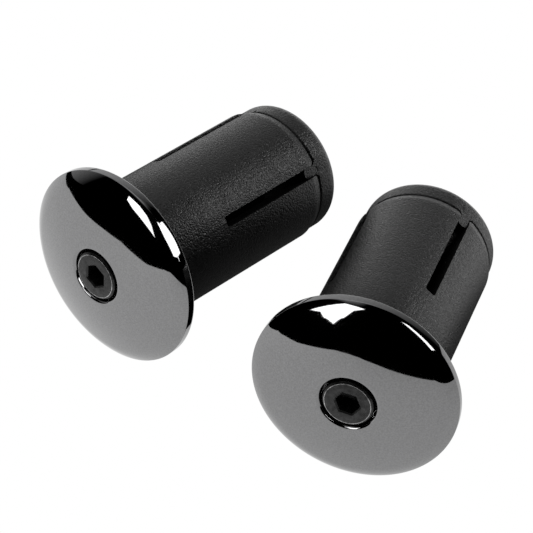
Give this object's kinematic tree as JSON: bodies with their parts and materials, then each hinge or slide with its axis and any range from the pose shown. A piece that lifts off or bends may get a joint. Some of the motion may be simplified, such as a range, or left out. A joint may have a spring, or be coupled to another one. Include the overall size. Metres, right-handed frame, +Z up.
{
  "type": "handlebar end plugs",
  "caption": "Pair of expanding handlebar end plugs lying on a table: domed metal cap, slotted plastic sleeve, and a wedge that a socket screw draws in to spread the fingers.",
  "frame": {"origin": "on the table, under the middle of the box round the pair", "axes": "+Z up from the table; +X along the left plug's axis seen from above, from its cap to its wedge; +Y from the right plug to the left one"},
  "size_m": [0.0454, 0.067, 0.0284],
  "materials": {
    "cap_metal": "polished, dark chrome coloured",
    "sleeve_plastic": "black glass-filled nylon, fine moulded grain",
    "wedge_plastic": "black glass-filled nylon, fine moulded grain",
    "screw_steel": "black oxide, knurled head",
    "plated_steel": "bright zinc plate"
  },
  "bodies": {
    "left_plug": {"left_cap": "cap_metal", "left_washer": "plated_steel", "left_sleeve_collar": "sleeve_plastic"},
    "left_screw": {"left_screw": "screw_steel"},
    "left_wedge": {"left_wedge": "wedge_plastic", "left_nut": "plated_steel"},
    "left_finger_1": {"left_finger_1": "sleeve_plastic"},
    "left_finger_2": {"left_finger_2": "sleeve_plastic"},
    "left_finger_3": {"left_finger_3": "sleeve_plastic"},
    "left_finger_4": {"left_finger_4": "sleeve_plastic"},
    "right_plug": {"right_cap": "cap_metal", "right_washer": "plated_steel", "right_sleeve_collar": "sleeve_plastic"},
    "right_screw": {"right_screw": "screw_steel"},
    "right_wedge": {"right_wedge": "wedge_plastic", "right_nut": "plated_steel"},
    "right_finger_1": {"right_finger_1": "sleeve_plastic"},
    "right_finger_2": {"right_finger_2": "sleeve_plastic"},
    "right_finger_3": {"right_finger_3": "sleeve_plastic"},
    "right_finger_4": {"right_finger_4": "sleeve_plastic"}
  },
  "joints": [
    {"name": "left_screw_turn", "type": "hinge", "parent": "left_plug", "child": "left_screw", "pos_m": [-0.01753, 0.01921, 0.01411], "axis": [0.9902, 0, -0.1398], "range_deg": [0, 450]},
    {"name": "left_wedge_draw", "type": "slide", "parent": "left_plug", "child": "left_wedge", "axis": [-0.9902, 0, 0.1398], "range_m": [0, 0.000875]},
    {"name": "left_finger_1_spread", "type": "hinge", "parent": "left_plug", "child": "left_finger_1", "pos_m": [-0.00409, 0.01736, 0.02203], "axis": [-0.0262, -0.9823, -0.1855], "range_deg": [0, 2.55]},
    {"name": "left_finger_2_spread", "type": "hinge", "parent": "left_plug", "child": "left_finger_2", "pos_m": [-0.00571, 0.00949, 0.01057], "axis": [-0.1373, 0.1874, -0.9726], "range_deg": [0, 2.55]},
    {"name": "left_finger_3_spread", "type": "hinge", "parent": "left_plug", "child": "left_finger_3", "pos_m": [-0.00681, 0.02107, 0.00277], "axis": [0.0262, 0.9823, 0.1855], "range_deg": [0, 2.55]},
    {"name": "left_finger_4_spread", "type": "hinge", "parent": "left_plug", "child": "left_finger_4", "pos_m": [-0.00519, 0.02893, 0.01424], "axis": [0.1373, -0.1874, 0.9726], "range_deg": [0, 2.55]},
    {"name": "right_plug_set_apart", "type": "slide", "parent": "left_plug", "child": "right_plug", "axis": [0, -1, 0], "range_m": [0, 0.03]},
    {"name": "right_screw_turn", "type": "hinge", "parent": "right_plug", "child": "right_screw", "pos_m": [-0.01253, -0.01989, 0.01411], "axis": [0.9053, 0.4012, -0.1398], "range_deg": [0, 450]},
    {"name": "right_wedge_draw", "type": "slide", "parent": "right_plug", "child": "right_wedge", "axis": [-0.9053, -0.4012, 0.1398], "range_m": [0, 0.000875]},
    {"name": "right_finger_1_spread", "type": "hinge", "parent": "right_plug", "child": "right_finger_1", "pos_m": [-0.00087, -0.01301, 0.02208], "axis": [0.4203, -0.8938, 0.1566], "range_deg": [0, 2.55]},
    {"name": "right_finger_2_spread", "type": "hinge", "parent": "right_plug", "child": "right_finger_2", "pos_m": [0.00267, -0.02384, 0.01395], "axis": [-0.0621, -0.2005, -0.9777], "range_deg": [0, 2.55]},
    {"name": "right_finger_3_spread", "type": "hinge", "parent": "right_plug", "child": "right_finger_3", "pos_m": [-0.0021, -0.01698, 0.00272], "axis": [-0.4203, 0.8938, -0.1566], "range_deg": [0, 2.55]},
    {"name": "right_finger_4_spread", "type": "hinge", "parent": "right_plug", "child": "right_finger_4", "pos_m": [-0.00565, -0.00615, 0.01085], "axis": [0.0621, 0.2005, 0.9777], "range_deg": [0, 2.55]}
  ],
  "couplings": [
    {"joint": "left_screw_turn", "follows": "left_wedge_draw", "rad_per_m": 8976},
    {"joint": "left_finger_1_spread", "follows": "left_wedge_draw", "rad_per_m": 50.864},
    {"joint": "left_finger_2_spread", "follows": "left_wedge_draw", "rad_per_m": 50.864},
    {"joint": "left_finger_3_spread", "follows": "left_wedge_draw", "rad_per_m": 50.864},
    {"joint": "left_finger_4_spread", "follows": "left_wedge_draw", "rad_per_m": 50.864},
    {"joint": "right_screw_turn", "follows": "right_wedge_draw", "rad_per_m": 8976},
    {"joint": "right_finger_1_spread", "follows": "right_wedge_draw", "rad_per_m": 50.864},
    {"joint": "right_finger_2_spread", "follows": "right_wedge_draw", "rad_per_m": 50.864},
    {"joint": "right_finger_3_spread", "follows": "right_wedge_draw", "rad_per_m": 50.864},
    {"joint": "right_finger_4_spread", "follows": "right_wedge_draw", "rad_per_m": 50.864}
  ]
}
